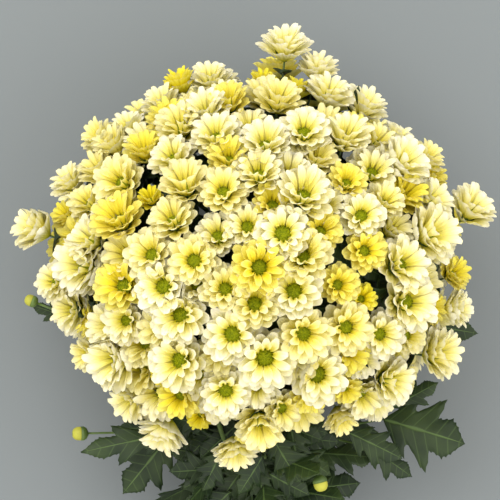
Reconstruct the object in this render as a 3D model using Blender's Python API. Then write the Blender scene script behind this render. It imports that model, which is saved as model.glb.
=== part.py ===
"""A bunch of spray chrysanthemums, lying on its back, with its stems tied together.

Metres, +Z up. The flowers point along +Y, the cut stems along -Y, and the side of the
bunch that shows best faces up. Each spray is a leafy stem and the fused flowers that it
carries. Nothing moves.
"""

import math
import random

import bmesh
import bpy
from mathutils import Vector

# The head is the ball of flowers, measured through the middles of the blooms.
HEAD_CENTRE = Vector((0.006, 0.0, 0.140))
HEAD_HALF_WIDTH = 0.163
HEAD_REACH_UP = 0.152
HEAD_REACH_DOWN = 0.168
HEAD_HALF_DEPTH = 0.142
HEAD_BACK_DEPTH = 0.126
NARROWING = 0.3

# The stems run from the head to their cut ends, which rest on the surface.
STEM_END = Vector((0.0, -0.430, 0.0203))
TIE_DISTANCE = 0.335
STEM_COUNT = 24
STEM_RADIUS = 0.0023
BUNDLE_RADIUS = 0.0140
STEM_SIDES = 5
STEM_FLARE = 2.2
LAST_PATCH_ANGLE = math.radians(148)

# A neck is where a spray's stem ends and its flower stalks begin.
TOP_NECK = 0.058
RIM_NECK = 0.104
NECK_DROP = 0.055
NECK_GAP = 0.0003
RACHIS_LENGTH = 0.034
RACHIS_RADIUS = 0.0021
STALK_RADIUS = 0.0010

# Blooms face outwards, and lean towards the light, along the stems.
LEAN = 0.62
TURN_SPREAD = 0.13
BLOOM_GAP = 0.0004
FRONT_SPACING = 0.0255
SIDE_SPACING = 0.0335
BACK_SPACING = 0.049
EMPTY_CONE = math.radians(150)
OPEN_WIDTH_SCALE = 1.26
RIM_WIDTH_SCALE = 1.08
LOWEST_OPEN_BLOOM = -115
SMALLEST_BLOOM = 0.038
FINE_BLOOM = 32
LARGEST_BLOOM = 0.048

CREAM = (0.93, 0.90, 0.66)
LEMON = (0.90, 0.82, 0.30)
GOLD = (0.86, 0.70, 0.08)
DISC_GREEN = (0.24, 0.33, 0.02)
STEM_GREEN = (0.10, 0.17, 0.03)
LEAF_GREEN = (0.03, 0.07, 0.02)
TWINE = (0.42, 0.30, 0.16)

# The blooms that show, seen from the front: x, y and width in millimetres.
CREAM_BLOOMS = [
    (-35, 142, 36), (-75, 120, 36), (-37, 112, 34), (-106, 101, 34), (-29, 90, 36),
    (-65, 73, 34), (-156, 54, 34), (-180, 14, 42), (-134, 4, 36), (29, 167, 43),
    (57, 152, 34), (65, 126, 41), (96, 117, 38), (124, 67, 41), (44, 94, 37),
    (78, 89, 37), (127, 93, 32), (184, 29, 44), (149, 37, 41), (42, 39, 42),
    (92, 25, 34), (145, 9, 43), (26, 10, 40), (12, 83, 36), (6, 58, 36),
    (-138, -16, 42), (-71, -33, 40), (-169, -31, 34), (-150, -54, 40), (-106, -63, 32),
    (-57, -56, 40), (-109, -93, 44), (-57, -93, 43), (-99, -128, 40), (-21, -118, 42),
    (-73, -154, 42), (-14, -171, 38), (-15, -72, 40), (35, -37, 40), (11, -90, 43),
    (54, -105, 42), (127, -46, 42), (122, -16, 40), (176, -54, 32), (154, -91, 44),
    (114, -112, 42), (108, -74, 34),
]
PALE_BLOOMS = [
    (-129, 92, 34), (-116, 84, 36), (-59, 99, 36), (-130, 63, 34), (-108, 53, 37),
    (-54, 48, 37), (-139, 36, 33), (-65, 20, 34), (-23, 44, 35), (23, 122, 33),
    (107, 89, 32), (151, 75, 32), (112, 36, 30), (-82, -8, 36), (-47, -12, 36),
    (-22, -36, 34), (42, -9, 39), (3, -48, 38), (42, -71, 39), (78, -67, 37),
    (133, -77, 32), (77, -146, 31), (7, -144, 42), (25, -137, 34), (-141, -94, 30),
]
LEMON_BLOOMS = [
    (-19, 122, 30), (-91, 80, 30), (-19, 72, 31), (-161, 26, 28), (-108, 20, 40),
    (156, 57, 30), (81, 53, 29), (58, 12, 30), (-105, -33, 39), (-136, -67, 30),
    (-59, -125, 36), (6, -17, 39), (95, -4, 31), (73, -33, 28), (81, -90, 30),
    (176, -25, 30), (156, -54, 28), (82, -123, 26), (47, -126, 30),
]
GOLD_BLOOMS = [
    (-62, 142, 27), (10, 146, 24), (40, 137, 25), (-88, 40, 22), (95, -46, 24),
    (-45, -150, 22), (-75, -112, 22),
]

UP = (STEM_END * -1 + HEAD_CENTRE).normalized()


def head_radius(direction):
    """Distance from the head's centre to its surface, along a unit direction."""
    tall = HEAD_REACH_UP if direction.y > 0 else HEAD_REACH_DOWN
    deep = HEAD_HALF_DEPTH if direction.z > 0 else HEAD_BACK_DEPTH
    power = 2 - NARROWING * max(direction.y, 0)
    shares = (abs(direction.x) / HEAD_HALF_WIDTH) ** power + (abs(direction.y) / tall) ** power
    return (shares + (abs(direction.z) / deep) ** power) ** (-1 / power)


def place_in_front(x, y):
    """The point of the head's front that shows at x, y. Blooms past the rim stick out at the side."""
    tall = HEAD_REACH_UP if y > 0 else HEAD_REACH_DOWN
    power = 2 - NARROWING * max(y, 0) / HEAD_REACH_UP
    out = (abs(x - HEAD_CENTRE.x) / HEAD_HALF_WIDTH) ** power + (abs(y) / tall) ** power
    rise = HEAD_HALF_DEPTH * max(1 - out, 0.03) ** (1 / power)
    return Vector((x, y, HEAD_CENTRE.z + rise))


def even_directions(count):
    """Directions spread evenly over the whole ball, on a golden-angle spiral."""
    golden = math.pi * (3 - math.sqrt(5))
    for step in range(count):
        height = 1 - 2 * (step + 0.5) / count
        ring = math.sqrt(1 - height * height)
        yield Vector((ring * math.cos(golden * step), height, ring * math.sin(golden * step)))


class Bloom:
    def __init__(self, middle, width, tone, shows, jitter):
        self.middle = middle
        self.width = width
        self.tone = tone
        self.shows = shows
        self.way = (middle - HEAD_CENTRE).normalized()
        along = self.way.dot(UP)
        self.facing = (self.way + UP * LEAN * (1 + 0.4 * along) + jitter).normalized()


def random_jitter(chance):
    return Vector([chance.uniform(-TURN_SPREAD, TURN_SPREAD) for axis in range(3)])


def lay_out_blooms():
    """The blooms that show, then more between, beside and behind them wherever there is room."""
    chance = random.Random(11)
    blooms = []
    tones = (("cream", CREAM_BLOOMS), ("pale", PALE_BLOOMS), ("lemon", LEMON_BLOOMS), ("gold", GOLD_BLOOMS))
    for tone, seen in tones:
        for x, y, width in seen:
            middle = place_in_front(x / 1000, y / 1000)
            middle += (middle - HEAD_CENTRE).normalized() * ((width - 35) * 0.0005)
            inside = (middle - HEAD_CENTRE).z > HEAD_HALF_DEPTH * 0.45 and y > LOWEST_OPEN_BLOOM
            scale = OPEN_WIDTH_SCALE if inside and tone != "gold" else RIM_WIDTH_SCALE
            blooms.append(Bloom(middle, width * scale / 1000, tone, width > FINE_BLOOM, random_jitter(chance)))
    candidates = list(even_directions(2600))
    chance.shuffle(candidates)
    for direction in candidates:
        if direction.dot(UP) < math.cos(EMPTY_CONE):
            continue
        depth = chance.uniform(-0.006, 0.004)
        if direction.z > 0.25:
            spacing = FRONT_SPACING
            depth -= 0.009
        elif direction.z > -0.35:
            spacing = SIDE_SPACING
        else:
            spacing = BACK_SPACING
        middle = HEAD_CENTRE + direction * (head_radius(direction) + depth)
        if min((middle - other.middle).length for other in blooms) < spacing:
            continue
        width = chance.uniform(SMALLEST_BLOOM, LARGEST_BLOOM)
        tone = chance.choices(("cream", "pale", "lemon"), (5, 3, 2))[0]
        blooms.append(Bloom(middle, width, tone, False, random_jitter(chance)))
    return blooms


class Spray:
    """One leafy stem with the blooms of its patch of the head."""

    def __init__(self, index):
        self.index = index
        share = (index + 0.5) / STEM_COUNT
        angle = math.acos(1 - share * (1 - math.cos(LAST_PATCH_ANGLE)))
        turn = index * math.pi * (3 - math.sqrt(5))
        side = Vector((1, 0, 0))
        outward = side * math.cos(turn) + UP.cross(side) * math.sin(turn)
        self.way = UP * math.cos(angle) + outward * math.sin(angle)
        self.place = outward * BUNDLE_RADIUS * math.sqrt(share)
        self.blooms = []

    def set_neck(self):
        """Low patches are reached by stems that spread further out, and lower, before they branch."""
        angle = math.acos(self.way.dot(UP))
        low = max(angle - math.radians(70), 0) / (LAST_PATCH_ANGLE - math.radians(70))
        ease = low * low * (3 - 2 * low)
        reach = TOP_NECK + (RIM_NECK - TOP_NECK) * ease
        self.neck = HEAD_CENTRE + self.way * reach - UP * NECK_DROP * ease
        beyond = HEAD_CENTRE + self.way * head_radius(self.way) - self.neck
        self.aim = beyond.normalized()
        self.branching = min(RACHIS_LENGTH, beyond.length * 0.5)
        self.bend = (self.stem_way(1.0) + self.aim).normalized()

    def stem_point(self, along):
        """The middle of the stem, from the cut end at 0, through the tie, to the neck at 1."""
        neck_height = (self.neck - HEAD_CENTRE).dot(UP)
        neck_side = self.neck - HEAD_CENTRE - UP * neck_height
        end_height = -(STEM_END - HEAD_CENTRE).length
        height = end_height + (neck_height - end_height) * along
        rise = max(height + TIE_DISTANCE, 0) / (neck_height + TIE_DISTANCE)
        side = self.place + (neck_side - self.place) * rise ** STEM_FLARE
        return HEAD_CENTRE + UP * height + side

    def stem_way(self, along):
        return (self.stem_point(along + 0.005) - self.stem_point(along - 0.005)).normalized()


def lay_out_sprays(blooms):
    """Shares the blooms out, moving each patch twice to the middle of its blooms to even them up."""
    sprays = [Spray(index) for index in range(STEM_COUNT)]
    for sharing in range(3):
        for spray in sprays:
            if spray.blooms:
                middle = sum((bloom.way for bloom in spray.blooms), Vector())
                spray.way = middle.normalized()
            spray.blooms = []
        for bloom in blooms:
            nearest = max(sprays, key=lambda spray: spray.way.dot(bloom.way))
            nearest.blooms.append(bloom)
    for spray in sprays:
        spray.set_neck()
    return sprays


def cell_walls(bloom, blooms):
    """Planes through the head's centre that part this bloom from its neighbours, as outward normals."""
    walls = []
    for other in blooms:
        if other is bloom or other.way.dot(bloom.way) < math.cos(math.radians(28)):
            continue
        share = bloom.width / (bloom.width + other.width)
        between = (bloom.way * (1 - share) + other.way * share).normalized()
        apart = other.way - bloom.way
        walls.append((apart - between * apart.dot(between)).normalized())
    return walls


def keep_inside(point, heart, walls):
    """Draws a point of a bloom back towards its heart until it clears its neighbours and the surface."""
    offset = point - heart
    scale = 1.0
    for wall in walls:
        room = -(heart - HEAD_CENTRE).dot(wall) - BLOOM_GAP / 2
        push = offset.dot(wall)
        if push > room:
            scale = min(scale, room / push)
    if point.z < 0:
        scale = min(scale, heart.z / -offset.z)
    return heart + offset * scale


def frame_across(direction):
    """Two unit vectors across a direction."""
    side = Vector((0, 0, 1)) if abs(direction.z) < 0.8 else Vector((1, 0, 0))
    first = side.cross(direction).normalized()
    return first, direction.cross(first)


def add_ring(shape, middle, direction, radius, sides, turn=0.0):
    first, second = frame_across(direction)
    ring = []
    for step in range(sides):
        angle = turn + 2 * math.pi * step / sides
        ring.append(shape.verts.new(middle + (first * math.cos(angle) + second * math.sin(angle)) * radius))
    return ring


def bridge(shape, lower, upper):
    """Joins two rings of the same number of points, with faces out."""
    for step in range(len(lower)):
        after = (step + 1) % len(lower)
        shape.faces.new((lower[step], lower[after], upper[after], upper[step]))


def zip_rings(shape, lower, upper):
    """Joins two closed rings of (angle, point) pairs whose numbers of points differ, with faces out."""
    low, high = 0, 0
    full = 2 * math.pi
    while low < len(lower) or high < len(upper):
        low_angle = lower[low % len(lower)][0] + full * (low // len(lower))
        high_angle = upper[high % len(upper)][0] + full * (high // len(upper))
        next_low = lower[(low + 1) % len(lower)][0] + full * ((low + 1) // len(lower))
        next_high = upper[(high + 1) % len(upper)][0] + full * ((high + 1) // len(upper))
        here, there = lower[low % len(lower)][1], upper[high % len(upper)][1]
        step_low = low < len(lower) and (high >= len(upper) or next_low + low_angle < next_high + high_angle)
        if step_low:
            after = lower[(low + 1) % len(lower)][1]
            low += 1
        else:
            after = upper[(high + 1) % len(upper)][1]
            high += 1
        shape.faces.new((here, after, there))


PETAL_PAIRS = 5
TIP_HALF_ANGLE = math.radians(9)
NOTCH_DEPTH = 0.84
DISC_WIDTH = 0.26
HEART_DEPTH = 0.2
CALYX_DEPTH = 0.4


def make_bloom(bloom, blooms, root, turn, name):
    """A bloom of two alternating layers of petals round a domed disc, on its stalk."""
    walls = cell_walls(bloom, blooms)
    first, second = frame_across(bloom.facing)
    size = bloom.width / 2
    cup = {"cream": 0.44, "pale": 0.48, "lemon": 0.52, "gold": 0.65}[bloom.tone]
    heart = bloom.middle - bloom.facing * size * HEART_DEPTH
    shape = bmesh.new()

    def point(angle, out, rise):
        across = first * math.cos(angle) + second * math.sin(angle)
        spot = bloom.middle + (across * out + bloom.facing * rise) * size
        return shape.verts.new(keep_inside(spot, heart, walls))

    pairs = PETAL_PAIRS if bloom.shows else PETAL_PAIRS - 1
    half_step = math.pi / pairs
    tips = (-TIP_HALF_ANGLE, TIP_HALF_ANGLE) if bloom.shows else (0.0,)
    disc = [point(turn + (2 * pair - 1) * half_step, DISC_WIDTH, 0.12) for pair in range(pairs)]
    rim = []
    for pair in range(pairs):
        middle = 2 * half_step * pair
        outline = [(middle + tip, 1.0, cup) for tip in tips]
        outline.append((middle + 0.55 * half_step, NOTCH_DEPTH, 0.8 * cup))
        outline.append((middle + half_step, 0.86, 0.42 + 0.6 * cup))
        outline.append((middle + 1.45 * half_step, NOTCH_DEPTH, 0.8 * cup))
        rim.append([(angle, point(turn + angle, out, rise)) for angle, out, rise in outline])
    top = point(0.0, 0.0, 0.25)
    for pair in range(pairs):
        near = disc[pair]
        far = disc[(pair + 1) % pairs]
        spots = [spot for angle, spot in rim[pair]]
        following = rim[(pair + 1) % pairs][0][1]
        shape.faces.new([near] + spots[:len(tips)] + [far])
        for spot, after in zip(spots[len(tips) - 1:], spots[len(tips):] + [following]):
            shape.faces.new((far, spot, after))
        cap = shape.faces.new((near, far, top))
        cap.material_index = 4
    rim = [corner for petals in rim for corner in petals]
    rim = [(angle + TIP_HALF_ANGLE, spot) for angle, spot in rim]
    base = bloom.middle - bloom.facing * size * CALYX_DEPTH
    base.z = max(base.z, STALK_RADIUS * 2)
    calyx = []
    for step in range(3):
        angle = 2 * math.pi * step / 3
        across = first * math.cos(turn + angle) + second * math.sin(turn + angle)
        calyx.append((angle + TIP_HALF_ANGLE, shape.verts.new(base + across * size * 0.16)))
    zip_rings(shape, calyx, rim)
    direction = (base - root).normalized()
    low_first = (first - direction * first.dot(direction)).normalized()
    low_second = direction.cross(low_first)
    ring = []
    for step in range(3):
        angle = turn + 2 * math.pi * step / 3
        across = low_first * math.cos(angle) + low_second * math.sin(angle)
        ring.append(shape.verts.new(root + across * STALK_RADIUS))
    bridge(shape, ring, [spot for angle, spot in calyx])
    shape.faces.new(reversed(ring))
    tone = ("cream", "pale", "lemon", "gold").index(bloom.tone)
    for face in shape.faces:
        if face.material_index != 4:
            low = any(spot in ring for spot in face.verts)
            face.material_index = 5 if low else tone
    bmesh.ops.recalc_face_normals(shape, faces=shape.faces)
    return finish(shape, name)


def make_material(name, colour, roughness):
    material = bpy.data.materials.new(name)
    material.use_nodes = True
    material.diffuse_color = (*colour, 1)
    shader = material.node_tree.nodes["Principled BSDF"]
    shader.inputs["Base Color"].default_value = (*colour, 1)
    shader.inputs["Roughness"].default_value = roughness
    return material


def finish(shape, name, materials=None):
    mesh = bpy.data.meshes.new(name)
    shape.to_mesh(mesh)
    shape.free()
    for material in materials or PETAL_MATERIALS:
        mesh.materials.append(material)
    made = bpy.data.objects.new(name, mesh)
    bpy.context.scene.collection.objects.link(made)
    return made


def fuse(base, pieces):
    """One Boolean union of the base with all its pieces, which are then removed."""
    group = bpy.data.collections.new(base.name + " pieces")
    bpy.context.scene.collection.children.link(group)
    for piece in pieces:
        bpy.context.scene.collection.objects.unlink(piece)
        group.objects.link(piece)
    union = base.modifiers.new("union", "BOOLEAN")
    union.operation = "UNION"
    union.operand_type = "COLLECTION"
    union.collection = group
    union.solver = "MANIFOLD"
    union.material_mode = "INDEX"
    bpy.context.view_layer.update()
    graph = bpy.context.evaluated_depsgraph_get()
    fused = bpy.data.meshes.new_from_object(base.evaluated_get(graph))
    base.modifiers.clear()
    base.data = fused
    for piece in pieces:
        bpy.data.objects.remove(piece)
    bpy.data.collections.remove(group)


FLOWER_SEED = 30


def make_flowers(spray, blooms):
    """The flower-bearing part of one spray: every bloom's stalk grows out of the same short axis."""
    chance = random.Random(FLOWER_SEED + spray.index)
    name = f"spray_{spray.index + 1:02d}_flowers"
    start = spray.neck + spray.bend * NECK_GAP
    shape = bmesh.new()
    rings = [add_ring(shape, start, spray.bend, RACHIS_RADIUS, 4)]
    for along, radius in ((0.6, RACHIS_RADIUS * 0.8), (1.0, RACHIS_RADIUS * 0.5)):
        rings.append(add_ring(shape, start + spray.aim * spray.branching * along, spray.aim, radius, 4))
    shape.faces.new(reversed(rings[0]))
    for lower, upper in zip(rings, rings[1:]):
        bridge(shape, lower, upper)
    shape.faces.new(rings[-1])
    for face in shape.faces:
        face.material_index = 5
    base = finish(shape, name)
    pieces = []
    spray.blooms.sort(key=lambda bloom: bloom.way.dot(spray.way))
    for number, bloom in enumerate(spray.blooms):
        share = 0.15 + 0.78 * number / max(len(spray.blooms) - 1, 1)
        root = start + spray.aim * max(spray.branching * share, STALK_RADIUS * 4)
        turn = chance.uniform(0, 2 * math.pi)
        pieces.append(make_bloom(bloom, blooms, root, turn, f"{name}_{number}"))
    fuse(base, pieces)
    return base


# Along a lobed leaf's half outline: the share of its length, and of its width from the midrib.
LEAF_EDGE = ((-0.3, 0.03), (0.05, 0.06), (0.3, 0.42), (0.34, 0.17), (0.66, 0.5), (0.64, 0.15), (1.0, 0.0))
LEAF_RIB = (0.33, 0.62)
LEAF_THICKNESS = 0.0009


def make_leaf(root, base, tip, normal, width, name):
    """A lobed blade with its leaf stalk, which starts inside the stem."""
    along = tip - base
    length = along.length
    along.normalize()
    normal = (normal - along * normal.dot(along)).normalized()
    side = along.cross(normal)
    shape = bmesh.new()

    def point(share, across, level):
        droop = -0.12 * length * share * share - 0.25 * abs(across) * width
        spot = base + along * length * share + side * across * width + normal * droop
        if share < 0:
            spot = root + side * across * width
        spot = spot + normal * level
        spot.z = max(spot.z, level + LEAF_THICKNESS / 2)
        return shape.verts.new(spot)

    sides = {}
    for level in (-LEAF_THICKNESS / 2, LEAF_THICKNESS / 2):
        right = [point(share, across, level) for share, across in LEAF_EDGE[:-1]]
        left = [point(share, -across, level) for share, across in LEAF_EDGE[:-1]]
        end = point(1.0, 0.0, level)
        rib = [point(share, 0.0, level) for share in LEAF_RIB]
        sides[level] = (right, left, end, rib)
    for level, (right, left, end, rib) in sides.items():
        faces = [(left[0], right[0], right[1], left[1])]
        faces.append((left[1], right[1], rib[0]))
        for edge in (right, left):
            faces.append((edge[1], edge[2], rib[0]))
            faces.append((edge[2], edge[3], rib[0]))
            faces.append((rib[0], edge[3], rib[1]))
            faces.append((edge[3], edge[4], rib[1]))
            faces.append((edge[4], edge[5], rib[1]))
            faces.append((rib[1], edge[5], end))
        for corners in faces:
            shape.faces.new(corners)
    low, high = sides[-LEAF_THICKNESS / 2], sides[LEAF_THICKNESS / 2]
    low_loop = low[0] + [low[2]] + low[1][::-1]
    high_loop = high[0] + [high[2]] + high[1][::-1]
    bridge(shape, low_loop, high_loop)
    bmesh.ops.triangulate(shape, faces=shape.faces)
    bmesh.ops.recalc_face_normals(shape, faces=shape.faces)
    for face in shape.faces:
        face.material_index = 1
    return finish(shape, name, GREEN_MATERIALS)


def nearest_stem(sprays, spot):
    """The spray whose stem passes nearest to a spot, and the point where it does."""
    best = None
    for spray in sprays:
        for step in range(40, 86, 3):
            point = spray.stem_point(step / 100)
            distance = (point - spot).length
            if best is None or distance < best[0]:
                best = (distance, spray, point)
    return best[1], best[2]


# Leaves that show at the rim, from the front: base, tip and width, in millimetres.
RIM_LEAVES = [
    ((118, -154, 96), (190, -174, 110), 64),
    ((126, -144, 90), (166, -121, 100), 26),
    ((-66, -164, 120), (-150, -180, 132), 34),
    ((-72, -168, 100), (-117, -222, 92), 46),
    ((-160, -66, 56), (-199, -52, 62), 20),
    ((104, -178, 96), (147, -207, 84), 30),
    ((86, -164, 128), (134, -186, 132), 34),
]
LEAF_COUNT = 19
FIRST_LEAF_DROP = 0.172
LAST_LEAF_DROP = 0.268


def place_leaves(sprays):
    """Root, base, tip, face and width of each leaf, shared out to the stems that carry them."""
    chance = random.Random(5)
    leaves = {spray.index: [] for spray in sprays}
    for base, tip, width in RIM_LEAVES:
        base = Vector(base) / 1000
        tip = Vector(tip) / 1000
        spray, root = nearest_stem(sprays, base)
        leaves[spray.index].append((root, base, tip, Vector((0, 0.2, 1)), width / 1000))
    side = Vector((1, 0, 0))
    for number in range(LEAF_COUNT):
        turn = number * math.pi * (3 - math.sqrt(5)) + 0.5
        share = (number + 0.5) / LEAF_COUNT
        drop = FIRST_LEAF_DROP + (LAST_LEAF_DROP - FIRST_LEAF_DROP) * share
        outward = side * math.cos(turn) + UP.cross(side) * math.sin(turn)
        foot = HEAD_CENTRE - UP * drop + outward * (0.075 - 0.035 * share)
        spray, root = nearest_stem(sprays, foot)
        climb = math.radians(chance.uniform(-30, 10))
        way = outward * math.cos(climb) + UP * math.sin(climb)
        base = root + way * 0.016
        length = chance.uniform(0.052, 0.070)
        tip = base + way * length
        tilt = math.radians(chance.uniform(15, 60))
        face = way.cross(UP).normalized() * math.cos(tilt) + UP * math.sin(tilt)
        if tip.z < 0.004:
            tip.z = 0.004
            face = Vector((0, 0, 1))
        leaves[spray.index].append((root, base, tip, face, length * chance.uniform(0.6, 0.75)))
    return leaves


# Buds on their stalks: middle and width, in millimetres, and whether they open downwards.
BUDS = [((-196, -48, 104), 11), ((-153, -167, 94), 13), ((60, -205, 176), 13)]


def make_bud(root, middle, size, name):
    """A closed bud in its green cup, on a stalk that starts inside the stem."""
    way = (middle - root).normalized()
    shape = bmesh.new()
    rings = [add_ring(shape, root, way, STALK_RADIUS, 5)]
    for along, radius in ((-0.55, 0.16), (-0.3, 0.4), (0.15, 0.5), (0.55, 0.22)):
        rings.append(add_ring(shape, middle + way * size * along, way, size * radius, 5))
    shape.faces.new(reversed(rings[0]))
    for lower, upper in zip(rings, rings[1:]):
        bridge(shape, lower, upper)
    shape.faces.new(rings[-1])
    return finish(shape, name, GREEN_MATERIALS)


def make_stem(spray, leaves, buds):
    shape = bmesh.new()
    rings = []
    for along in (0.0, 0.28, 0.5, 0.66, 0.8, 0.92, 1.0):
        middle = spray.stem_point(along)
        direction = spray.bend if along == 1.0 else spray.stem_way(along)
        radius = STEM_RADIUS + (RACHIS_RADIUS - STEM_RADIUS) * along
        ring = add_ring(shape, middle, direction, radius, STEM_SIDES)
        for spot in ring:
            spot.co.z = max(spot.co.z, 0)
        rings.append(ring)
    shape.faces.new(reversed(rings[0]))
    for lower, upper in zip(rings, rings[1:]):
        bridge(shape, lower, upper)
    shape.faces.new(rings[-1])
    stem = finish(shape, f"spray_{spray.index + 1:02d}_stem", GREEN_MATERIALS)
    pieces = [make_leaf(*leaf, f"{stem.name}_leaf_{number}") for number, leaf in enumerate(leaves)]
    pieces += [make_bud(*bud, f"{stem.name}_bud_{number}") for number, bud in enumerate(buds)]
    if pieces:
        fuse(stem, pieces)
    return stem


TIE_SIDES = 16
TIE_CLEARANCE = 0.0006


def make_tie():
    """Three turns of twine round the bundle, drawn tight."""
    inner = (BUNDLE_RADIUS + STEM_RADIUS + TIE_CLEARANCE) / math.cos(math.pi / TIE_SIDES)
    turn_width = 0.0024
    profile = [(inner, 0.0)]
    for step in range(3):
        profile.append((inner + 0.0018, turn_width * (step + 0.25)))
        profile.append((inner + 0.0018, turn_width * (step + 0.75)))
        if step < 2:
            profile.append((inner + 0.0010, turn_width * (step + 1)))
    profile.append((inner, turn_width * 3))
    first, second = frame_across(UP)
    shape = bmesh.new()
    rings = []
    for radius, height in profile:
        middle = HEAD_CENTRE + UP * (height - turn_width * 1.5 - TIE_DISTANCE)
        rings.append(add_ring(shape, middle, UP, radius, TIE_SIDES))
    for lower, upper in zip(rings, rings[1:] + rings[:1]):
        bridge(shape, lower, upper)
    bmesh.ops.recalc_face_normals(shape, faces=shape.faces)
    return finish(shape, "tie", [TWINE_MATERIAL])


for leftover in list(bpy.data.objects):
    bpy.data.objects.remove(leftover)

PETAL_MATERIALS = [
    make_material("cream_petal", CREAM, 0.6),
    make_material("pale_petal", (0.92, 0.87, 0.48), 0.6),
    make_material("lemon_petal", LEMON, 0.6),
    make_material("gold_petal", GOLD, 0.6),
    make_material("flower_disc", DISC_GREEN, 0.8),
    make_material("flower_stalk", STEM_GREEN, 0.6),
]
GREEN_MATERIALS = [make_material("stem", STEM_GREEN, 0.6), make_material("leaf", LEAF_GREEN, 0.5)]
TWINE_MATERIAL = make_material("twine", TWINE, 0.9)

all_blooms = lay_out_blooms()
all_sprays = lay_out_sprays(all_blooms)
all_leaves = place_leaves(all_sprays)
all_buds = {spray.index: [] for spray in all_sprays}
for bud_middle, bud_size in BUDS:
    spot = Vector(bud_middle) / 1000
    carrier, stalk_root = nearest_stem(all_sprays, spot)
    all_buds[carrier.index].append((stalk_root, spot, bud_size / 1000))
for spray in all_sprays:
    make_stem(spray, all_leaves[spray.index], all_buds[spray.index])
    make_flowers(spray, all_blooms)
make_tie()

# The origin is under the middle of the bunch's footprint.
corners = [spot.co for made in bpy.data.objects for spot in made.data.vertices]
footprint_middle = Vector((
    (min(spot.x for spot in corners) + max(spot.x for spot in corners)) / 2,
    (min(spot.y for spot in corners) + max(spot.y for spot in corners)) / 2,
    0,
))
for made in bpy.data.objects:
    for spot in made.data.vertices:
        spot.co -= footprint_middle
    made.data.shade_smooth()
    made.data.set_sharp_from_angle(angle=math.radians(50))
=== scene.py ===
"""A bunch of spray chrysanthemums lying on its back, seen from straight above."""

import math
import random

import bmesh
import bpy
import numpy as np
from mathutils import Matrix, Vector


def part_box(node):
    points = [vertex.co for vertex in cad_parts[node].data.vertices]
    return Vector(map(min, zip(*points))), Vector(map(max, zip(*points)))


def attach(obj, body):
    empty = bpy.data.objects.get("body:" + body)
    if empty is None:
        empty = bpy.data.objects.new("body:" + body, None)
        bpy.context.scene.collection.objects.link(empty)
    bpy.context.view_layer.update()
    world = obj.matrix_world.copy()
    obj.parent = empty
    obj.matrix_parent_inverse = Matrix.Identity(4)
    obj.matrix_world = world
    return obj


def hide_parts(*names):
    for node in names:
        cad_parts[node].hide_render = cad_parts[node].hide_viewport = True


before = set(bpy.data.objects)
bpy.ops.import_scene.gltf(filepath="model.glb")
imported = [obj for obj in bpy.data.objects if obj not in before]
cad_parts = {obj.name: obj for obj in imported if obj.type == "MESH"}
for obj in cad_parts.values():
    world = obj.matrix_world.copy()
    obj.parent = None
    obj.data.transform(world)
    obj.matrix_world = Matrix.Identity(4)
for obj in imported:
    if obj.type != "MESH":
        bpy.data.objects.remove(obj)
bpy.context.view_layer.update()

# The head of the bunch is a ball of about two hundred blooms, packed until they press on
# each other. Each bloom looks outwards and leans towards the light, along the stems. The
# blooms that show from the front are listed one by one, and the others fill the room left.
HEAD_CENTRE = Vector((0.006, 0.0, 0.140))
HEAD_HALF_WIDTH = 0.163
HEAD_REACH_UP = 0.152
HEAD_REACH_DOWN = 0.168
HEAD_HALF_DEPTH = 0.142
HEAD_BACK_DEPTH = 0.126
NARROWING = 0.3
STEM_END = Vector((0.0, -0.430, 0.0203))
LEAN = 0.62
LEAN_GAIN = 0.4
TURN_SPREAD = 0.13
GOLDEN_TURN = math.pi * (3 - math.sqrt(5))

# Open blooms turn up more to the front than their stalks lean, at the sides of the head too.
NOD = 0.45
NOD_START = 0.2
SIDE_NOD = 0.9
NOD_EDGE = -0.1

# Blooms in the middle of the front are wide open, and wider ones stand further out.
OPEN_WIDTH_SCALE = 1.26
RIM_WIDTH_SCALE = 1.08
OPEN_DEPTH = 0.45
LOWEST_OPEN_BLOOM = -115
LEAST_RISE = 0.03
MEAN_WIDTH = 35
STAND_OUT = 0.0005

# The blooms that fill the room left, at the front, the sides and the back of the head.
CANDIDATES = 2600
EMPTY_CONE = math.radians(150)
FRONT_EDGE = 0.25
BACK_EDGE = -0.35
FRONT_SPACING = 0.0255
SIDE_SPACING = 0.0335
BACK_SPACING = 0.049
FRONT_SINK = 0.009
DEPTH_SPREAD = (-0.006, 0.004)
WIDTH_SPREAD = (0.038, 0.048)
TONE_SHARES = (5, 3, 2)
BLOOM_SEED = 11

# Blooms seen from the front: x, y and width in millimetres.
CREAM_BLOOMS = [
    (-35, 142, 36), (-75, 120, 36), (-37, 112, 34), (-106, 101, 34), (-29, 90, 36),
    (-65, 73, 34), (-156, 54, 34), (-180, 14, 42), (-134, 4, 36), (29, 167, 43),
    (57, 152, 34), (65, 126, 41), (96, 117, 38), (124, 67, 41), (44, 94, 37),
    (78, 89, 37), (127, 93, 32), (184, 29, 44), (149, 37, 41), (42, 39, 42),
    (92, 25, 34), (145, 9, 43), (26, 10, 40), (12, 83, 36), (6, 58, 36),
    (-138, -16, 42), (-71, -33, 40), (-169, -31, 34), (-150, -54, 40), (-106, -63, 32),
    (-57, -56, 40), (-109, -93, 44), (-57, -93, 43), (-99, -128, 40), (-21, -118, 42),
    (-73, -154, 42), (-14, -171, 38), (-15, -72, 40), (35, -37, 40), (11, -90, 43),
    (54, -105, 42), (127, -46, 42), (122, -16, 40), (176, -54, 32), (154, -91, 44),
    (114, -112, 42), (108, -74, 34),
]
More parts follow.
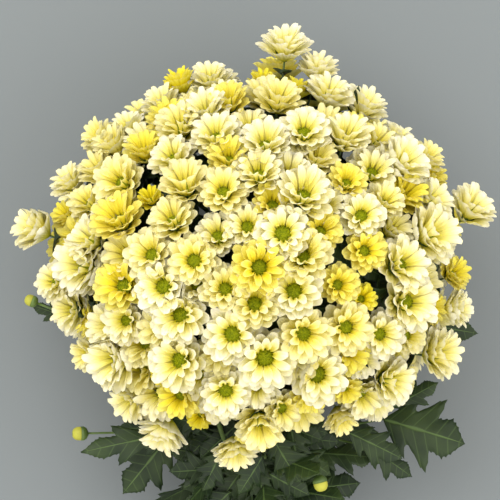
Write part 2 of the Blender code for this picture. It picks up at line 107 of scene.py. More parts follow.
PALE_BLOOMS = [
    (-129, 92, 34), (-116, 84, 36), (-59, 99, 36), (-130, 63, 34), (-108, 53, 37),
    (-54, 48, 37), (-139, 36, 33), (-65, 20, 34), (-23, 44, 35), (23, 122, 33),
    (107, 89, 32), (151, 75, 32), (112, 36, 30), (-82, -8, 36), (-47, -12, 36),
    (-22, -36, 34), (42, -9, 39), (3, -48, 38), (42, -71, 39), (78, -67, 37),
    (133, -77, 32), (77, -146, 31), (7, -144, 42), (25, -137, 34), (-141, -94, 30),
]
LEMON_BLOOMS = [
    (-19, 122, 30), (-91, 80, 30), (-19, 72, 31), (-161, 26, 28), (-108, 20, 40),
    (156, 57, 30), (81, 53, 29), (58, 12, 30), (-105, -33, 39), (-136, -67, 30),
    (-59, -125, 36), (6, -17, 39), (95, -4, 31), (73, -33, 28), (81, -90, 30),
    (176, -25, 30), (156, -54, 28), (82, -123, 26), (47, -126, 30),
]
GOLD_BLOOMS = [
    (-62, 142, 27), (10, 146, 24), (40, 137, 25), (-88, 40, 22), (95, -46, 24),
    (-45, -150, 22), (-75, -112, 22),
]

UP = (HEAD_CENTRE - STEM_END).normalized()


def head_radius(direction):
    """Distance from the head's centre to its surface, along a unit direction."""
    tall = HEAD_REACH_UP if direction.y > 0 else HEAD_REACH_DOWN
    deep = HEAD_HALF_DEPTH if direction.z > 0 else HEAD_BACK_DEPTH
    power = 2 - NARROWING * max(direction.y, 0)
    shares = (abs(direction.x) / HEAD_HALF_WIDTH) ** power + (abs(direction.y) / tall) ** power
    return (shares + (abs(direction.z) / deep) ** power) ** (-1 / power)


def place_in_front(x, y):
    """The point of the head's front that shows at x, y. Blooms past the rim stick out at the side."""
    tall = HEAD_REACH_UP if y > 0 else HEAD_REACH_DOWN
    power = 2 - NARROWING * max(y, 0) / HEAD_REACH_UP
    out = (abs(x - HEAD_CENTRE.x) / HEAD_HALF_WIDTH) ** power + (abs(y) / tall) ** power
    rise = HEAD_HALF_DEPTH * max(1 - out, LEAST_RISE) ** (1 / power)
    return Vector((x, y, HEAD_CENTRE.z + rise))


def even_directions(count):
    """Directions spread evenly over the whole ball, on a golden-angle spiral."""
    for step in range(count):
        height = 1 - 2 * (step + 0.5) / count
        ring = math.sqrt(1 - height * height)
        yield Vector((ring * math.cos(GOLDEN_TURN * step), height, ring * math.sin(GOLDEN_TURN * step)))


class Bloom:
    """A bloom's place, width and tone, the way its stalk leans and the way it opens."""

    def __init__(self, middle, width, tone, jitter):
        self.middle = middle
        self.width = width
        self.tone = tone
        self.way = (middle - HEAD_CENTRE).normalized()
        along = self.way.dot(UP)
        self.facing = (self.way + UP * LEAN * (1 + LEAN_GAIN * along) + jitter).normalized()
        sideways = abs(self.way.x) * SIDE_NOD if self.way.z > NOD_EDGE else 0
        nod = NOD * max(self.facing.z + NOD_START, sideways)
        self.opening = (self.facing + jitter + Vector((0, 0, nod))).normalized()


def random_jitter(chance):
    """A small random step for the way that a bloom faces."""
    return Vector([chance.uniform(-TURN_SPREAD, TURN_SPREAD) for axis in range(3)])


def lay_out_blooms():
    """The blooms that show, then more between, beside and behind them wherever there is room."""
    chance = random.Random(BLOOM_SEED)
    blooms = []
    for tone, seen in (
        ("cream", CREAM_BLOOMS),
        ("pale", PALE_BLOOMS),
        ("lemon", LEMON_BLOOMS),
        ("gold", GOLD_BLOOMS),
    ):
        for x, y, width in seen:
            middle = place_in_front(x / 1000, y / 1000)
            middle += (middle - HEAD_CENTRE).normalized() * ((width - MEAN_WIDTH) * STAND_OUT)
            inside = (middle - HEAD_CENTRE).z > HEAD_HALF_DEPTH * OPEN_DEPTH and y > LOWEST_OPEN_BLOOM
            scale = OPEN_WIDTH_SCALE if inside and tone != "gold" else RIM_WIDTH_SCALE
            blooms.append(Bloom(middle, width * scale / 1000, tone, random_jitter(chance)))
    candidates = list(even_directions(CANDIDATES))
    chance.shuffle(candidates)
    for direction in candidates:
        if direction.dot(UP) < math.cos(EMPTY_CONE):
            continue
        depth = chance.uniform(*DEPTH_SPREAD)
        if direction.z > FRONT_EDGE:
            spacing = FRONT_SPACING
            depth -= FRONT_SINK
        elif direction.z > BACK_EDGE:
            spacing = SIDE_SPACING
        else:
            spacing = BACK_SPACING
        middle = HEAD_CENTRE + direction * (head_radius(direction) + depth)
        if min((middle - other.middle).length for other in blooms) < spacing:
            continue
        width = chance.uniform(*WIDTH_SPREAD)
        tone = chance.choices(("cream", "pale", "lemon"), TONE_SHARES)[0]
        blooms.append(Bloom(middle, width, tone, random_jitter(chance)))
    return blooms


all_blooms = lay_out_blooms()

# Two dozen straight green stems, mottled light and dark, run from their cut ends through the
# tie and fan out into the head. Each ends in an axis that branches into a spray of flowers.
TIE_DISTANCE = 0.335
STEM_COUNT = 24
STEM_RADIUS = 0.0023
STEM_STEPS = 18
BUNDLE_RADIUS = 0.0140
STEM_FLARE = 2.2
SPREADING_ANGLE = math.radians(70)
LAST_PATCH_ANGLE = math.radians(148)
SHARINGS = 3
TOP_NECK = 0.058
RIM_NECK = 0.104
NECK_DROP = 0.055
RACHIS_LENGTH = 0.034
RACHIS_RADIUS = 0.0021
STALK_RADIUS = 0.0010


class Spray:
    """One leafy stem with the blooms of its patch of the head."""

    def __init__(self, index):
        self.index = index
        self.name = f"spray_{index + 1:02d}"
        share = (index + 0.5) / STEM_COUNT
        angle = math.acos(1 - share * (1 - math.cos(LAST_PATCH_ANGLE)))
        turn = index * GOLDEN_TURN
        side = Vector((1, 0, 0))
        outward = side * math.cos(turn) + UP.cross(side) * math.sin(turn)
        self.way = UP * math.cos(angle) + outward * math.sin(angle)
        self.place = outward * BUNDLE_RADIUS * math.sqrt(share)
        self.blooms = []

    def set_neck(self):
        """Low patches are reached by stems that spread further out, and lower, before they branch."""
        angle = math.acos(self.way.dot(UP))
        low = max(angle - SPREADING_ANGLE, 0) / (LAST_PATCH_ANGLE - SPREADING_ANGLE)
        ease = low * low * (3 - 2 * low)
        reach = TOP_NECK + (RIM_NECK - TOP_NECK) * ease
        self.neck = HEAD_CENTRE + self.way * reach - UP * NECK_DROP * ease
        beyond = HEAD_CENTRE + self.way * head_radius(self.way) - self.neck
        self.aim = beyond.normalized()
        self.branching = min(RACHIS_LENGTH, beyond.length * 0.5)

    def stem_point(self, along):
        """The middle of the stem, from the cut end at 0, through the tie, to the neck at 1."""
        neck_height = (self.neck - HEAD_CENTRE).dot(UP)
        neck_side = self.neck - HEAD_CENTRE - UP * neck_height
        end_height = -(STEM_END - HEAD_CENTRE).length
        height = end_height + (neck_height - end_height) * along
        rise = max(height + TIE_DISTANCE, 0) / (neck_height + TIE_DISTANCE)
        side = self.place + (neck_side - self.place) * rise ** STEM_FLARE
        return HEAD_CENTRE + UP * height + side


def lay_out_sprays(blooms):
    """Shares the blooms out, moving each patch twice to the middle of its blooms to even them up."""
    sprays = [Spray(index) for index in range(STEM_COUNT)]
    for sharing in range(SHARINGS):
        for spray in sprays:
            if spray.blooms:
                middle = sum((bloom.way for bloom in spray.blooms), Vector())
                spray.way = middle.normalized()
            spray.blooms = []
        for bloom in blooms:
            nearest = max(sprays, key=lambda spray: spray.way.dot(bloom.way))
            nearest.blooms.append(bloom)
    for spray in sprays:
        spray.set_neck()
    return sprays


all_sprays = lay_out_sprays(all_blooms)

# The source puts the origin under the middle of the bunch, so its layout is moved by the
# same step, read off the tie.
tie_low, tie_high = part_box("tie")
origin_step = (Vector(tie_low) + Vector(tie_high)) / 2 - (HEAD_CENTRE - UP * TIE_DISTANCE)
origin_step.z = 0


def turn_to(direction):
    """The turn that points a shape's Z axis along a direction."""
    return direction.to_track_quat("Z", "Y").to_matrix().to_4x4()


def add_tube(shape, line, radii, sides):
    """Adds a closed round rod along a line of points, and returns its side faces."""
    rings = []
    for step, (spot, radius) in enumerate(zip(line, radii)):
        before = line[max(step - 1, 0)]
        after = line[min(step + 1, len(line) - 1)]
        seat = Matrix.Translation(spot) @ turn_to(after - before)
        ends = step in (0, len(line) - 1)
        made = bmesh.ops.create_circle(
            shape, cap_ends=ends, segments=sides, radius=radius, matrix=seat
        )
        rings.append(made["verts"])
    faces = []
    for lower, upper in zip(rings, rings[1:]):
        edges = {edge for spot in lower + upper for edge in spot.link_edges if len(edge.link_faces) < 2}
        lower_set, upper_set = set(lower), set(upper)
        edges = [edge for edge in edges if set(edge.verts) <= lower_set or set(edge.verts) <= upper_set]
        faces += bmesh.ops.bridge_loops(shape, edges=edges)["faces"]
    return faces


def keep_piece(shape, name, materials, node):
    """Makes a piece of the finished shape, on or above the table. It stands for its node."""
    bmesh.ops.translate(shape, verts=shape.verts, vec=origin_step)
    for spot in shape.verts:
        spot.co.z = max(spot.co.z, 0)
    mesh = bpy.data.meshes.new(name)
    shape.to_mesh(mesh)
    shape.free()
    for material in materials:
        mesh.materials.append(material)
    piece = bpy.data.objects.new(name, mesh)
    bpy.context.scene.collection.objects.link(piece)
    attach(piece, "root")
    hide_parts(node)
    return piece


def new_material(name, roughness):
    """A material with its nodes, its links and the shader that gives its surface."""
    material = bpy.data.materials.new(name)
    material.use_nodes = True
    shader = material.node_tree.nodes["Principled BSDF"]
    shader.inputs["Roughness"].default_value = roughness
    return material, material.node_tree.nodes, material.node_tree.links, shader


def add_ramp(nodes, *stops):
    """A colour ramp whose stops are each a position and a colour."""
    ramp = nodes.new("ShaderNodeValToRGB")
    elements = ramp.color_ramp.elements
    while len(elements) < len(stops):
        elements.new(0.5)
    for element, (position, colour) in zip(elements, stops):
        element.position = position
        element.color = (*colour, 1)
    return ramp


stem_green, nodes, links, shader = new_material("stem_green", 0.5)
coordinates = nodes.new("ShaderNodeTexCoord")
mottle = nodes.new("ShaderNodeTexNoise")
mottle.inputs["Scale"].default_value = 60
stem_ramp = add_ramp(nodes, (0.3, (0.045, 0.085, 0.016)), (0.75, (0.13, 0.20, 0.035)))
links.new(coordinates.outputs["Object"], mottle.inputs["Vector"])
links.new(mottle.outputs["Fac"], stem_ramp.inputs["Fac"])
links.new(stem_ramp.outputs["Color"], shader.inputs["Base Color"])

cut_end, nodes, links, shader = new_material("cut_end", 0.7)
shader.inputs["Base Color"].default_value = (0.62, 0.62, 0.36, 1)

for spray in all_sprays:
    shape = bmesh.new()
    shares = [step / STEM_STEPS for step in range(STEM_STEPS + 1)]
    line = [spray.stem_point(share) for share in shares]
    radii = [STEM_RADIUS + (RACHIS_RADIUS - STEM_RADIUS) * share for share in shares]
    add_tube(shape, line, radii, 10)
    bmesh.ops.recalc_face_normals(shape, faces=shape.faces)
    for face in shape.faces:
        face.smooth = len(face.verts) == 4
        if face.normal.dot(UP) < -0.9:
            face.material_index = 1
    materials = [stem_green, cut_end]
    keep_piece(shape, f"{spray.name}_green_stem", materials, f"{spray.name}_stem")

# Chrysanthemum leaves: dark green and satin, cut into forward-pointing lobes with toothed
# edges, with a pale midrib and side veins, on short stalks that grow out of the stems.
LEAF_THICKNESS = 0.0007
RIM_LEAVES = [
    ((118, -154, 96), (190, -174, 110), 64),
    ((126, -144, 90), (166, -121, 100), 26),
    ((-66, -164, 120), (-150, -180, 132), 34),
    ((-72, -168, 100), (-117, -222, 92), 46),
    ((-160, -66, 56), (-199, -52, 62), 20),
    ((104, -178, 96), (147, -207, 84), 30),
    ((86, -164, 128), (134, -186, 132), 34),
]
RIM_LEAF_FACE = Vector((0, 0.2, 1))
LEAFY_SHARES = [step / 100 for step in range(40, 86, 3)]

# The leaves placed by rule, down the stems: lengths in metres, angles in degrees.
LEAF_COUNT = 19
FIRST_LEAF_DROP = 0.172
LAST_LEAF_DROP = 0.268
FIRST_LEAF_TURN = 0.5
FOOT_SPREAD = 0.075
FOOT_TAPER = 0.035
LEAF_STALK = 0.016
LEAF_CLIMBS = (-30, 10)
LEAF_LENGTHS = (0.052, 0.070)
LEAF_TILTS = (15, 60)
LEAF_BREADTHS = (0.6, 0.75)
LOWEST_TIP = 0.004
LEAF_PLACE_SEED = 5


def nearest_stem(spot):
    """The spray whose stem passes nearest to a spot, and the point where it does."""
    best = None
    for spray in all_sprays:
        for share in LEAFY_SHARES:
            point = spray.stem_point(share)
            distance = (point - spot).length
            if best is None or distance < best[0]:
                best = (distance, spray, point)
    return best[1], best[2]


def place_leaves():
    """Root, base, tip, face and width of each leaf, shared out to the stems that carry them."""
    chance = random.Random(LEAF_PLACE_SEED)
    leaves = {spray.index: [] for spray in all_sprays}
    for base, tip, width in RIM_LEAVES:
        base = Vector(base) / 1000
        tip = Vector(tip) / 1000
        spray, root = nearest_stem(base)
        leaves[spray.index].append((root, base, tip, RIM_LEAF_FACE, width / 1000))
    side = Vector((1, 0, 0))
    for number in range(LEAF_COUNT):
        turn = number * GOLDEN_TURN + FIRST_LEAF_TURN
        share = (number + 0.5) / LEAF_COUNT
        drop = FIRST_LEAF_DROP + (LAST_LEAF_DROP - FIRST_LEAF_DROP) * share
        outward = side * math.cos(turn) + UP.cross(side) * math.sin(turn)
        foot = HEAD_CENTRE - UP * drop + outward * (FOOT_SPREAD - FOOT_TAPER * share)
        spray, root = nearest_stem(foot)
        climb = math.radians(chance.uniform(*LEAF_CLIMBS))
        way = outward * math.cos(climb) + UP * math.sin(climb)
        base = root + way * LEAF_STALK
        length = chance.uniform(*LEAF_LENGTHS)
        tip = base + way * length
        tilt = math.radians(chance.uniform(*LEAF_TILTS))
        face = way.cross(UP).normalized() * math.cos(tilt) + UP * math.sin(tilt)
        if tip.z < LOWEST_TIP:
            tip.z = LOWEST_TIP
            face = Vector((0, 0, 1))
        width = length * chance.uniform(*LEAF_BREADTHS)
        leaves[spray.index].append((root, base, tip, face, width))
    return leaves


# How far each side vein runs to the leaf's edge, in widths, against where it leaves the midrib.
VEIN_STARTS = (0.0, 0.04, 0.09, 0.14, 0.2, 0.26, 0.33, 0.385, 0.45, 0.52, 0.6, 0.68, 0.8, 1.0)
VEIN_REACHES = (0.04, 0.30, 0.45, 0.42, 0.25, 0.26, 0.45, 0.54, 0.46, 0.24, 0.25, 0.29, 0.21, 0.0)
VEIN_SWEEP = 0.55
SWEEP_EASE = 0.4
LEAF_ROWS = 44
LEAF_COLUMNS = 6
TOOTH = 0.06
TOOTH_GAP = -0.03

# A leaf bends down towards its tip and its edges, and its edges are waved.
TIP_DROOP = 0.12
EDGE_DROOP = 0.25
EDGE_WAVE = 0.012
WAVES = 14
CURLS = (0.7, 1.3)
RIPPLES = (0, 6)
LEAF_STALK_RADII = (0.0011, 0.0010, 0.0010, 0.0006)
LEAF_STALK_SINK = 0.001
LEAF_STALK_REACH = 0.12


def new_blade(columns, rows):
    """A flat square sheet with a UV map, to grow a leaf from."""
    blade = bmesh.new()
    blade.loops.layers.uv.new("blade")
    bmesh.ops.create_grid(blade, x_segments=columns, y_segments=rows, size=0.5, calc_uvs=True)
    return blade


def add_blade(shape, blade):
    """Gives a leaf's sheet its thickness, and adds it to the shape."""
    bmesh.ops.recalc_face_normals(blade, faces=blade.faces)
    bmesh.ops.solidify(blade, geom=blade.faces, thickness=LEAF_THICKNESS)
    bmesh.ops.recalc_face_normals(blade, faces=blade.faces)
    for face in blade.faces:
        face.smooth = True
    mesh = bpy.data.meshes.new("blade")
    blade.to_mesh(mesh)
    blade.free()
    shape.from_mesh(mesh)
    bpy.data.meshes.remove(mesh)


def add_leaf(shape, root, base, tip, normal, width, chance):
    """Grows a flat sheet out to its lobed outline, bends it, and gives it its thickness and stalk."""
    along = tip - base
    length = along.length
    along.normalize()
    normal = (normal - along * normal.dot(along)).normalized()
    side = along.cross(normal)
    blade = new_blade(LEAF_COLUMNS, LEAF_ROWS)
    curl = chance.uniform(*CURLS)
    ripple = chance.uniform(*RIPPLES)
    for spot in blade.verts:
        across = spot.co.x * 2
        start = spot.co.y + 0.5
        row = round(start * LEAF_ROWS)
        reach = float(np.interp(start, VEIN_STARTS, VEIN_REACHES))
        tooth = 1.0 + (TOOTH if row % 3 == 0 else TOOTH_GAP) * abs(across) ** 3
        out = abs(across) * reach * tooth
        share = min(start + out * VEIN_SWEEP * (1 - start) ** SWEEP_EASE, 1.0)
        offset = math.copysign(out, across) * width
        droop = -TIP_DROOP * length * share * share * curl - EDGE_DROOP * out * width * curl
        droop += EDGE_WAVE * length * math.sin(share * WAVES + ripple) * abs(across)
        spot.co = base + along * length * share + side * offset + normal * droop
        spot.co.z = max(spot.co.z, LEAF_THICKNESS / 2)
    add_blade(shape, blade)
    below = normal * LEAF_STALK_SINK
    end = base + along * length * LEAF_STALK_REACH
    stalk = [root, root.lerp(base, 0.5) - below, base - below * 0.8, end - below]
    for face in add_tube(shape, stalk, LEAF_STALK_RADII, 6):
        face.material_index = 1
        face.smooth = True


leaf_green, nodes, links, shader = new_material("leaf_green", 0.48)
shader.inputs["Specular IOR Level"].default_value = 0.28
coordinates = nodes.new("ShaderNodeTexCoord")
patches = nodes.new("ShaderNodeTexNoise")
patches.inputs["Scale"].default_value = 35
blade_ramp = add_ramp(nodes, (0.35, (0.010, 0.022, 0.007)), (0.7, (0.028, 0.050, 0.013)))
split = nodes.new("ShaderNodeSeparateXYZ")
off_midrib = nodes.new("ShaderNodeMath")
off_midrib.operation = "SUBTRACT"
off_midrib.inputs[1].default_value = 0.5
distance = nodes.new("ShaderNodeMath")
distance.operation = "ABSOLUTE"
midrib = nodes.new("ShaderNodeMapRange")
midrib.inputs["From Min"].default_value = 0.010
midrib.inputs["From Max"].default_value = 0.035
midrib.inputs["To Min"].default_value = 1.0
midrib.inputs["To Max"].default_value = 0.0
vein_waves = nodes.new("ShaderNodeTexWave")
vein_waves.bands_direction = "Y"
vein_waves.inputs["Scale"].default_value = 2.2
vein_waves.inputs["Distortion"].default_value = 0.4
veins = nodes.new("ShaderNodeMapRange")
veins.inputs["From Min"].default_value = 0.93
veins.inputs["From Max"].default_value = 1.0
vein_share = nodes.new("ShaderNodeMath")
vein_share.operation = "MULTIPLY"
vein_share.inputs[1].default_value = 0.32
ribs = nodes.new("ShaderNodeMath")
ribs.operation = "MAXIMUM"
vein_mix = nodes.new("ShaderNodeMix")
vein_mix.data_type = "RGBA"
vein_mix.inputs[7].default_value = (0.075, 0.125, 0.035, 1)
vein_relief = nodes.new("ShaderNodeBump")
vein_relief.inputs["Strength"].default_value = 0.5
vein_relief.inputs["Distance"].default_value = 0.0006
links.new(coordinates.outputs["Object"], patches.inputs["Vector"])
links.new(patches.outputs["Fac"], blade_ramp.inputs["Fac"])
links.new(coordinates.outputs["UV"], split.inputs["Vector"])
links.new(split.outputs["X"], off_midrib.inputs[0])
links.new(off_midrib.outputs["Value"], distance.inputs[0])
links.new(distance.outputs["Value"], midrib.inputs["Value"])
links.new(coordinates.outputs["UV"], vein_waves.inputs["Vector"])
links.new(vein_waves.outputs["Fac"], veins.inputs["Value"])
links.new(veins.outputs["Result"], vein_share.inputs[0])
links.new(midrib.outputs["Result"], ribs.inputs[0])
links.new(vein_share.outputs["Value"], ribs.inputs[1])
links.new(ribs.outputs["Value"], vein_mix.inputs["Factor"])
links.new(blade_ramp.outputs["Color"], vein_mix.inputs[6])
links.new(vein_mix.outputs[2], shader.inputs["Base Color"])
links.new(ribs.outputs["Value"], vein_relief.inputs["Height"])
links.new(vein_relief.outputs["Normal"], shader.inputs["Normal"])

# Side shoots of the stems carry smaller leaves of the same kind, on the front of the bundle.
# They point away from the flowers, and hide the stems just below the head.
SHOOT_DROPS = (0.150, 0.172, 0.194, 0.216, 0.238)
SHOOT_LAST_SHARE = 0.95
SHOOT_LEAF_LENGTHS = (0.038, 0.050)
SHOOT_LEAF_BREADTH = 0.72
SHOOT_LIFT = 0.012
SHOOT_STALK = 0.006
SHOOT_FAN = 0.03
SHOOT_TURN = 0.9
SHOOT_AIM = -0.8
SHOOT_RISE = (0, 0.25)
SHOOT_ROLL = (-0.5, 0.5)
SHOOT_TILT = (-0.5, 0.3)
LEAF_SEED = 100


def add_shoot_leaves(shape, spray, chance):
    """One leaf at each drop below the head, if the stem there is at the front of the bundle."""
    end_height = -(STEM_END - HEAD_CENTRE).length
    neck_height = (spray.neck - HEAD_CENTRE).dot(UP)
    for drop in SHOOT_DROPS:
        along = (-drop - end_height) / (neck_height - end_height)
        if along > SHOOT_LAST_SHARE:
            continue
        root = spray.stem_point(along)
        axis = HEAD_CENTRE - UP * drop
        if root.z < axis.z:
            continue
        turn = math.atan2(SHOOT_AIM, (root.x - axis.x) / SHOOT_FAN)
        turn += chance.uniform(-SHOOT_TURN, SHOOT_TURN)
        way = Vector((math.cos(turn), math.sin(turn), chance.uniform(*SHOOT_RISE))).normalized()
        base = root + way * SHOOT_STALK + Vector((0, 0, SHOOT_LIFT))
        length = chance.uniform(*SHOOT_LEAF_LENGTHS)
        face = Vector((chance.uniform(*SHOOT_ROLL), chance.uniform(*SHOOT_TILT), 1))
        width = length * SHOOT_LEAF_BREADTH
        add_leaf(shape, root, base, base + way * length, face, width, chance)


all_leaves = place_leaves()
for spray in all_sprays:
    chance = random.Random(LEAF_SEED + spray.index)
    shape = bmesh.new()
    for leaf in all_leaves[spray.index]:
        add_leaf(shape, *leaf, chance)
    add_shoot_leaves(shape, spray, chance)
    if not shape.verts:
        shape.free()
        continue
    materials = [leaf_green, stem_green]
    keep_piece(shape, f"{spray.name}_leaves", materials, f"{spray.name}_stem")

# Narrow leaves a few centimetres long grow on the flower stalks, just under the blooms, and
# fill the inside of the head with dark green.
SMALL_LEAF_LENGTHS = (0.028, 0.044)
SMALL_LEAVES_BELOW = (0.022, 0.036, 0.052)
SMALL_LEAF_ROWS = 8
SMALL_LEAF_COLUMNS = 2
SMALL_LEAF_HALF = 0.26
SMALL_LEAF_NOTCH = 0.85
SMALL_LEAF_FOLD = 0.10
SMALL_LEAF_DROOP = 0.22
SMALL_LEAF_RISE = 0.35
SMALL_LEAF_SEED = 200


def add_small_leaf(shape, foot, way, normal, length):
    """A narrow pointed blade, bent down along its length and folded a little at its midrib."""
    side = way.cross(normal).normalized()
    blade = new_blade(SMALL_LEAF_COLUMNS, SMALL_LEAF_ROWS)
    for spot in blade.verts:
        across = spot.co.x * 2
        share = spot.co.y + 0.5
        notch = SMALL_LEAF_NOTCH if round(share * SMALL_LEAF_ROWS) % 2 else 1.0
        half = SMALL_LEAF_HALF * length * math.sin(math.pi * min(share + 0.06, 1)) ** 0.8 * notch
        droop = (SMALL_LEAF_FOLD * abs(across) - SMALL_LEAF_DROOP * share * share) * length
        spot.co = foot + way * length * share + side * half * across + normal * droop
        spot.co.z = max(spot.co.z, LEAF_THICKNESS)
    add_blade(shape, blade)


# The few that show between the blooms or past the rim: tip and width, in millimetres.
SHOWN_TIPS = [
    ((201, -77, 126), 32), ((-173, -66, 118), 24), ((94, 140, 166), 15), ((28, 147, 196), 15),
    ((93, -27, 242), 15),
]
SHOWN_BELOW = 0.034
shown_leaves = {spray.index: [] for spray in all_sprays}
for tip, width in SHOWN_TIPS:
    tip = Vector(tip) / 1000
    bloom = min(all_blooms, key=lambda bloom: (bloom.middle - tip).length)
    carrier = next(spray for spray in all_sprays if bloom in spray.blooms)
    root = bloom.middle - bloom.facing * SHOWN_BELOW
    face = bloom.way * 0.3 + Vector((0, 0, 1))
    shown_leaves[carrier.index].append((root, root.lerp(tip, 0.25), tip, face, width / 1000))

for spray in all_sprays:
    chance = random.Random(SMALL_LEAF_SEED + spray.index)
    shape = bmesh.new()
    for leaf in shown_leaves[spray.index]:
        add_leaf(shape, *leaf, chance)
    for bloom in spray.blooms:
        for below in SMALL_LEAVES_BELOW:
            foot = bloom.middle - bloom.facing * below
            turn = chance.uniform(0, 2 * math.pi)
            aside = Matrix.Rotation(turn, 3, bloom.way) @ bloom.way.orthogonal().normalized()
            way = (aside + bloom.way * SMALL_LEAF_RISE).normalized()
            normal = (bloom.way - way * bloom.way.dot(way)).normalized()
            add_small_leaf(shape, foot, way, normal, chance.uniform(*SMALL_LEAF_LENGTHS))
    materials = [leaf_green, stem_green]
    keep_piece(shape, f"{spray.name}_small_leaves", materials, f"{spray.name}_flowers")

# Unopened buds stand on thin stalks of their own. Each is a green cup of scales round a ball
# of closed, greenish yellow petals with a green dimple in its tip.
BUD_CUP = ((-0.55, 0.14), (-0.44, 0.36), (-0.26, 0.48), (-0.06, 0.5))
BUD_BALL = ((-0.2, 0.42), (0.05, 0.48), (0.28, 0.45), (0.46, 0.34), (0.55, 0.18))

# Middle and size in millimetres, and how far each nods away from the flowers.
BUDS = [((-196, -48, 104), 11, 0), ((-153, -167, 94), 13, 0), ((60, -205, 176), 13, 2.5)]

bud_yellow, nodes, links, shader = new_material("bud_yellow", 0.6)
shader.inputs["Base Color"].default_value = (0.42, 0.41, 0.04, 1)

for number, (bud_middle, bud_size, bud_nod) in enumerate(BUDS):
    middle = Vector(bud_middle) / 1000
    size = bud_size / 1000
    carrier, root = nearest_stem(middle)
    way = ((middle - root).normalized() - UP * bud_nod).normalized()
    foot = middle - way * size * 0.5
    shape = bmesh.new()
    line = [root, root.lerp(foot, 0.5), root.lerp(foot, 0.9), foot]
    add_tube(shape, line, [STALK_RADIUS] * len(line), 8)
    for profile, part in ((BUD_CUP, 0), (BUD_BALL, 1)):
        line = [middle + way * size * along for along, radius in profile]
        for face in add_tube(shape, line, [size * radius for along, radius in profile], 12):
            face.material_index = part
    bmesh.ops.recalc_face_normals(shape, faces=shape.faces)
    for face in shape.faces:
        face.smooth = True
    materials = [stem_green, bud_yellow]
    keep_piece(shape, f"bud_{number + 1}", materials, f"{carrier.name}_stem")

# Each bloom stands on a thin stalk that leaves the spray's axis and ends in the calyx, a
# shallow cup of overlapping green bracts with pointed tips that clasps the petals' bases.
FIRST_STALK = 0.15
STALK_RUN = 0.78
STALK_BEND = 0.3
STALK_STEPS = 5
BRACTS = 9
SURFACE_GAP = 0.0003

# Of the calyx, in half widths of the bloom.
CALYX_DEPTH = 0.4
CALYX_FOOT = 0.10
CALYX_MOUTH = 0.40
CALYX_HEIGHT = 0.34
BRACT_RISE = 0.10
NOTCH_DROP = 0.04
NOTCH_INSET = 0.07


def flower_root(spray, number):
    """Where the stalk of a spray's numbered bloom leaves the axis."""
    share = FIRST_STALK + STALK_RUN * number / max(len(spray.blooms) - 1, 1)
    return spray.neck + spray.aim * max(spray.branching * share, STALK_RADIUS * 4)


calyx_green, nodes, links, shader = new_material("calyx_green", 0.55)
shader.inputs["Base Color"].default_value = (0.085, 0.15, 0.028, 1)

for spray in all_sprays:
    spray.blooms.sort(key=lambda bloom: bloom.way.dot(spray.way))
    shape = bmesh.new()
    line = [spray.neck + spray.aim * spray.branching * share for share in (0, 0.6, 1)]
    add_tube(shape, line, [RACHIS_RADIUS * share for share in (1, 0.8, 0.5)], 8)
    for number, bloom in enumerate(spray.blooms):
        size = bloom.width / 2
        base = bloom.middle - bloom.opening * size * CALYX_DEPTH
        base.z = max(base.z, STALK_RADIUS * 2)
        root = flower_root(spray, number)
        elbow = base - bloom.opening * (base - root).length * STALK_BEND
        elbow.z = max(elbow.z, STALK_RADIUS * 2)
        line = []
        for step in range(STALK_STEPS + 1):
            share = step / STALK_STEPS
            line.append(root.lerp(elbow, share).lerp(elbow.lerp(base, share), share))
        add_tube(shape, line, [STALK_RADIUS] * len(line), 6)
        cup_middle = base + bloom.opening * size * CALYX_HEIGHT / 2
        cup = bmesh.ops.create_cone(
            shape,
            cap_ends=True,
            segments=BRACTS * 2,
            radius1=size * CALYX_FOOT,
            radius2=size * CALYX_MOUTH,
            depth=size * CALYX_HEIGHT,
            matrix=Matrix.Translation(cup_middle) @ turn_to(bloom.opening),
        )["verts"]
        rim = [spot for spot in cup if (spot.co - cup_middle).dot(bloom.opening) > 0]
        rim.sort(key=lambda spot: spot.index)
        for step, spot in enumerate(rim):
            above = bloom.opening * (spot.co - base).dot(bloom.opening)
            outward = (spot.co - base - above).normalized()
            if step % 2:
                spot.co += bloom.opening * size * BRACT_RISE
            else:
                spot.co -= outward * size * NOTCH_INSET + bloom.opening * size * NOTCH_DROP
            spot.co.z = max(spot.co.z, SURFACE_GAP)
        for spot in cup:
            for face in spot.link_faces:
                face.material_index = 1
    bmesh.ops.recalc_face_normals(shape, faces=shape.faces)
    for face in shape.faces:
        face.smooth = len(face.verts) == 4
    materials = [stem_green, calyx_green]
    keep_piece(shape, f"{spray.name}_stalks", materials, f"{spray.name}_flowers")

# The middle of a bloom is a low dome of tiny closed florets, packed in spirals. They are
# lime green with a darker speckle, and sit on the end of the stalk inside the petals.
DISC_RADIUS = 0.31
DISC_RISE = 0.03
DISC_HEIGHT = 0.42
FLORETS = 42
FLORET_RADIUS = 0.15
FLORET_TIP = 0.45
FLORET_DEPTH = 1.5
FLORET_REACH = 0.97
FLORET_SINK = 0.94

disc_lime, nodes, links, shader = new_material("disc_lime", 0.7)
shader.inputs["Specular IOR Level"].default_value = 0.15
coordinates = nodes.new("ShaderNodeTexCoord")
speckle = nodes.new("ShaderNodeTexNoise")
speckle.inputs["Scale"].default_value = 420
disc_ramp = add_ramp(nodes, (0.35, (0.15, 0.19, 0.001)), (0.68, (0.29, 0.32, 0.003)))
links.new(coordinates.outputs["Object"], speckle.inputs["Vector"])
links.new(speckle.outputs["Fac"], disc_ramp.inputs["Fac"])
links.new(disc_ramp.outputs["Color"], shader.inputs["Base Color"])

